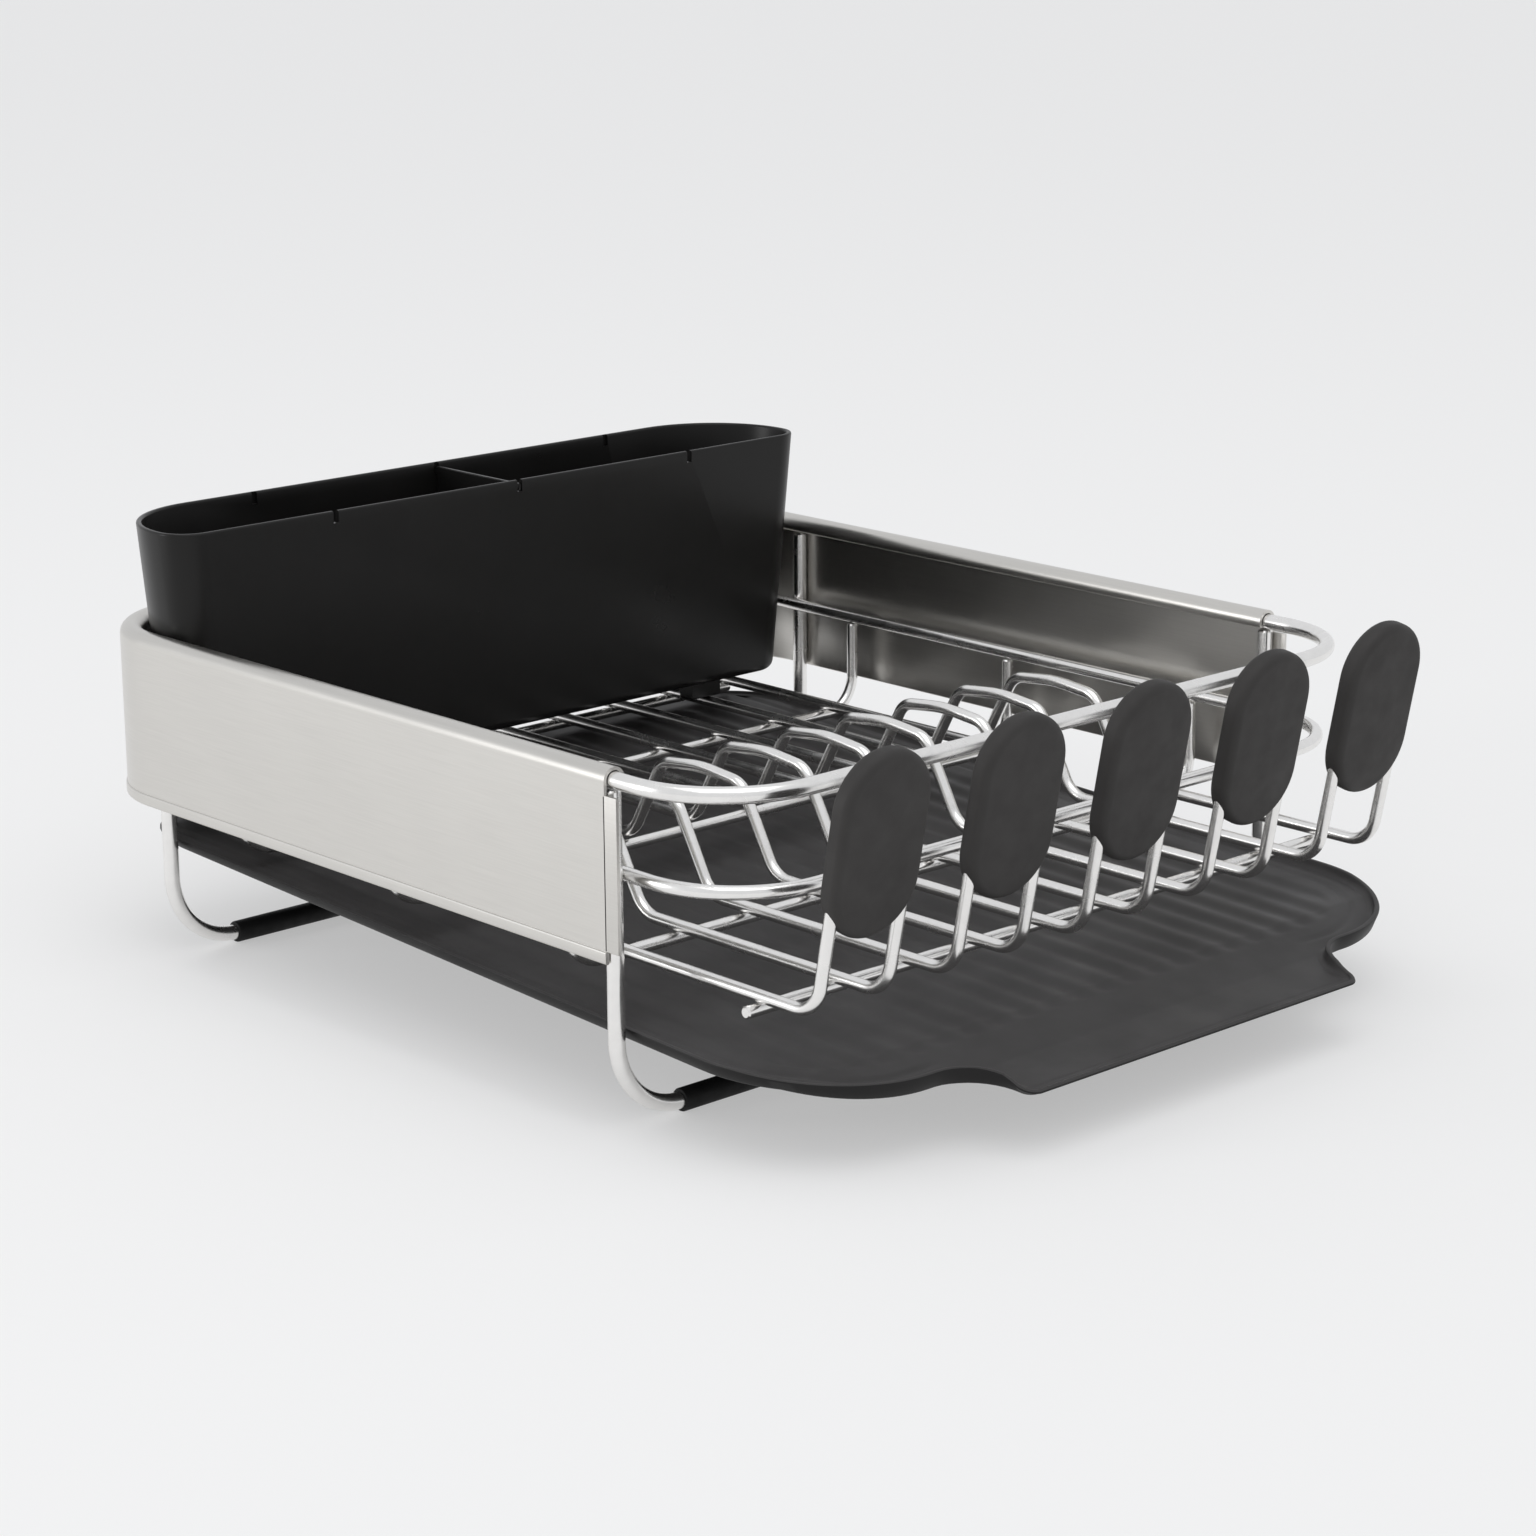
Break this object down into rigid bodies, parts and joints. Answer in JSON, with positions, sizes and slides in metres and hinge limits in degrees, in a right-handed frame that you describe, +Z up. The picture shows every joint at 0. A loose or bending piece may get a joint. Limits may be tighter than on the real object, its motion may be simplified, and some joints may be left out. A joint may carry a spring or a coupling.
{
  "type": "dish drying rack",
  "caption": "Countertop dish rack: steel wire basket in a rolled sheet wrap, with padded glass holders, a lift-out flatware caddy and a pull-out sloped drain tray.",
  "frame": {"origin": "on the counter under the middle of the overall box", "axes": "+X to the rack's right seen from the glass holders, +Y from the spout to the caddy, +Z up"},
  "size_m": [0.341, 0.429, 0.1665],
  "materials": {
    "satin_sheet": "satin",
    "polished_wire": "polished",
    "charcoal_rubber": "matte",
    "black_rubber": "matte",
    "charcoal_plastic": "matte",
    "black_plastic": "satin"
  },
  "bodies": {
    "rack": {"rim_wire": "polished_wire", "wrap_band": "satin_sheet", "mid_rail": "polished_wire", "leg_frame_front": "polished_wire", "foot_sleeve_front_left": "black_rubber", "foot_sleeve_front_right": "black_rubber", "leg_frame_rear": "polished_wire", "foot_sleeve_rear_left": "black_rubber", "foot_sleeve_rear_right": "black_rubber", "floor_wire_pair_1": "polished_wire", "holder_pad_1": "charcoal_rubber", "floor_wire_pair_2": "polished_wire", "holder_pad_2": "charcoal_rubber", "floor_wire_pair_3": "polished_wire", "holder_pad_3": "charcoal_rubber", "floor_wire_pair_4": "polished_wire", "holder_pad_4": "charcoal_rubber", "floor_wire_pair_5": "polished_wire", "holder_pad_5": "charcoal_rubber", "cross_wire_front": "polished_wire", "cross_wire_rear": "polished_wire", "cross_wire_middle_1": "polished_wire", "cross_wire_middle_2": "polished_wire", "cross_wire_middle_3": "polished_wire"},
    "tray": {"drain_tray": "charcoal_plastic"},
    "caddy": {"caddy_tub": "black_plastic"},
    "divider": {"caddy_divider": "black_plastic"}
  },
  "joints": [
    {"name": "tray_pull_out", "type": "slide", "parent": "rack", "child": "tray", "axis": [0, -1, 0], "range_m": [0, 0.26]},
    {"name": "caddy_lift_out", "type": "slide", "parent": "rack", "child": "caddy", "axis": [0, 0, 1], "range_m": [0, 0.13]},
    {"name": "divider_lift_out", "type": "slide", "parent": "caddy", "child": "divider", "axis": [0, 0, 1], "range_m": [0, 0.11]}
  ]
}
